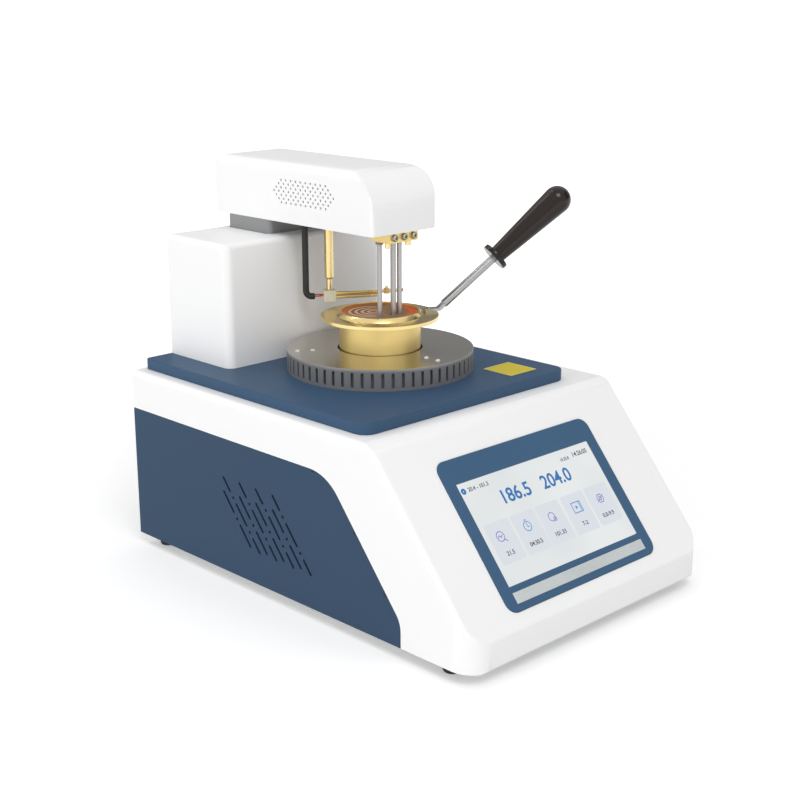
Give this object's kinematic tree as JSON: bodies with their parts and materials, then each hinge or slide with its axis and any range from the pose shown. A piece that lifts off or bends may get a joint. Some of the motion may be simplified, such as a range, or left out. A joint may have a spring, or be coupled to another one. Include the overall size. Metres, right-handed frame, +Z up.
{
  "type": "flash point tester",
  "caption": "Open-cup flash point tester: sloping touch screen, slotted heater with brass cup and dark handle, and a lifting head with probes and a swinging igniter arm.",
  "frame": {"origin": "middle of the bounding box in plan, at the underside of the feet", "axes": "+X to the right as seen from the screen, +Y to the back along the body, +Z up; the screen faces -Y"},
  "size_m": [0.2838, 0.4064, 0.3352],
  "materials": {
    "white_paint": "satin white powder coat",
    "blue_panel": "satin slate-blue powder coat",
    "blue_gloss": "smooth deep blue lacquer",
    "grey_paint": "satin grey powder coat",
    "zinc_sheet": "plain zinc-plated sheet",
    "steel": "smooth bright stainless steel",
    "screw_steel": "bright machine screws",
    "disc_steel": "warm grey turned steel",
    "aluminium": "satin machined aluminium",
    "brass": "satin turned brass",
    "element": "mica-faced heating element",
    "ceramic": "unglazed cream ceramic",
    "rubber": "black rubber",
    "black_plastic": "matt black plastic",
    "dark_metal": "black motor housing",
    "grip": "glossy dark brown phenolic",
    "screen": "lit pale blue-white display behind glass",
    "silver_strip": "bare brushed silver strip",
    "yellow_plate": "plain yellow film",
    "sleeve": "black woven sleeve, smooth here",
    "lead_red": "red silicone lead",
    "coil": "glowing ignition wire",
    "circuit": "green circuit board"
  },
  "bodies": {
    "base": {"base_pan": "zinc_sheet", "housing_shell": "white_paint", "side_panel_left": "blue_panel", "side_panel_right": "blue_panel", "rear_panel": "blue_panel", "foot_front_left": "rubber", "foot_front_right": "rubber", "foot_rear_left": "rubber", "foot_rear_right": "rubber", "case_screws": "screw_steel", "top_plate": "blue_gloss", "screen_bezel": "blue_gloss", "screen_glass": "screen", "display_module": "black_plastic", "bezel_strip": "silver_strip", "blank_plate": "yellow_plate", "heater_ring": "disc_steel", "heater_disc": "disc_steel", "heating_plate": "aluminium", "heating_element": "element", "heater_base": "ceramic", "tower_cover": "white_paint", "tower_frame": "zinc_sheet", "guide_rod_left": "steel", "guide_rod_right": "steel", "lift_motor": "dark_metal", "power_entry": "black_plastic", "fan_frame": "black_plastic", "controller_board": "circuit", "power_supply": "aluminium"},
    "head": {"lift_column": "grey_paint", "lift_carriage": "aluminium", "lift_nut": "brass", "head_shell": "white_paint", "head_base": "zinc_sheet", "sensor_plate": "brass", "sensor_plate_screws": "screw_steel", "sensor_studs": "brass", "temperature_probe": "steel", "probe_gland": "dark_metal", "electrode_left": "steel", "electrode_right": "steel", "sweep_motor": "dark_metal", "sweep_bracket": "zinc_sheet"},
    "screw": {"lead_screw": "steel"},
    "igniter": {"sweep_shaft": "brass", "sweep_carrier": "black_plastic", "igniter_block": "ceramic", "igniter_tube_upper": "brass", "igniter_tube_lower": "brass", "igniter_terminal": "brass", "igniter_coil": "coil", "igniter_sleeve": "sleeve", "igniter_leads": "lead_red"},
    "cup": {"test_cup": "brass", "handle_rod": "steel", "handle_guard": "grip", "handle_grip": "grip"},
    "rocker": {"power_rocker": "black_plastic"},
    "fan": {"fan_rotor": "black_plastic"}
  },
  "joints": [
    {"name": "head_lift", "type": "slide", "parent": "base", "child": "head", "axis": [0, 0, 1], "range_m": [0, 0.07]},
    {"name": "screw_spin", "type": "hinge", "parent": "base", "child": "screw", "pos_m": [-0.00717, 0.1578, 0.17], "axis": [0, 0, -1], "range_deg": [0, 3150]},
    {"name": "igniter_sweep", "type": "hinge", "parent": "head", "child": "igniter", "pos_m": [-0.01257, 0.0876, 0.2211], "axis": [0, 0, -1], "range_deg": [0, 118]},
    {"name": "cup_lift", "type": "slide", "parent": "base", "child": "cup", "axis": [0, 0, 1], "range_m": [0, 0.0025]},
    {"name": "rocker_tilt", "type": "hinge", "parent": "base", "child": "rocker", "pos_m": [-0.06887, 0.1958, 0.048], "axis": [-1, 0, 0], "range_deg": [0, 22]},
    {"name": "fan_spin", "type": "hinge", "parent": "base", "child": "fan", "pos_m": [0.06613, 0.1868, 0.088], "axis": [0, 1, 0], "continuous": true}
  ],
  "couplings": [
    {"joint": "screw_spin", "follows": "head_lift", "rad_per_m": 785.4}
  ]
}
